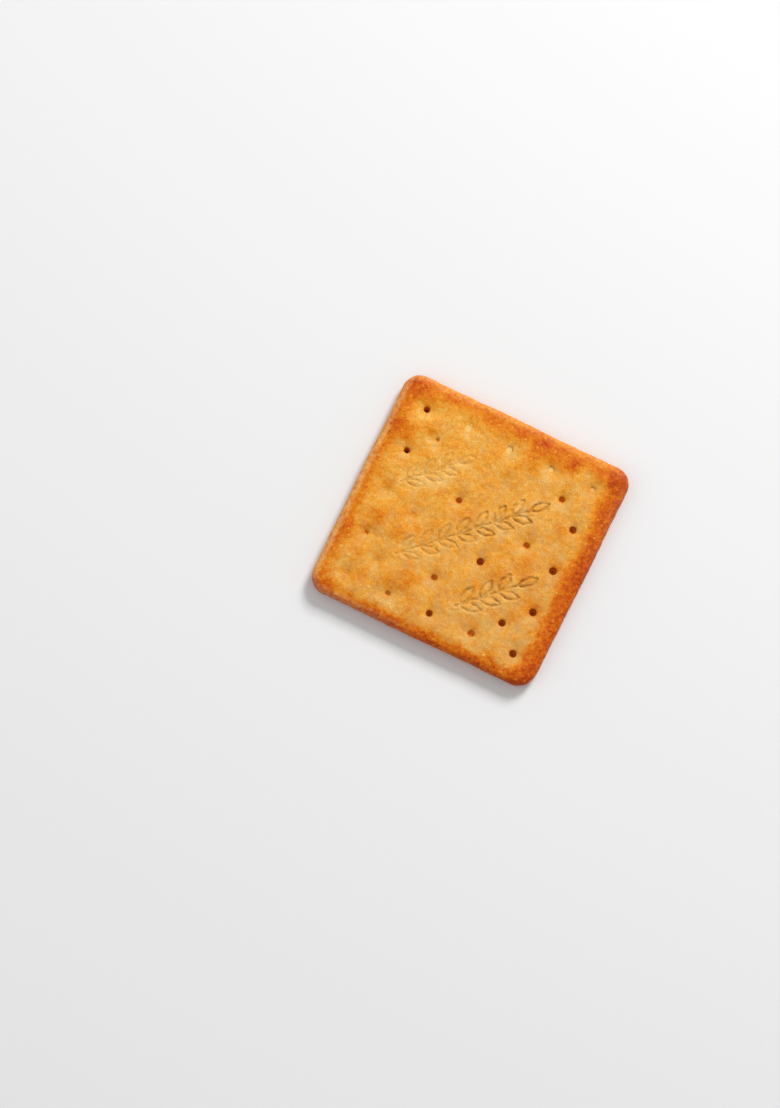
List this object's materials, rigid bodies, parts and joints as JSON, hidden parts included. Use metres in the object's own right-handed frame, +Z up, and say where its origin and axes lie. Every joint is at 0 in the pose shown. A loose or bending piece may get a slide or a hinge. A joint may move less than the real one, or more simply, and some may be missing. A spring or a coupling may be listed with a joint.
{
  "type": "square docked cracker",
  "caption": "Square baked wheat cracker with rounded corners, pin holes, a blistered golden face and browned edges, lying flat.",
  "frame": {"origin": "middle of the flat underside, at the centre of the outline", "axes": "+Z up out of the baked face, +X and +Y along the sides, with the slanting rows of pin holes running towards +X +Y"},
  "size_m": [0.0666, 0.0652, 0.0056],
  "materials": {
    "crust": "matte"
  },
  "bodies": {
    "root": {"cracker": "crust"}
  },
  "joints": []
}
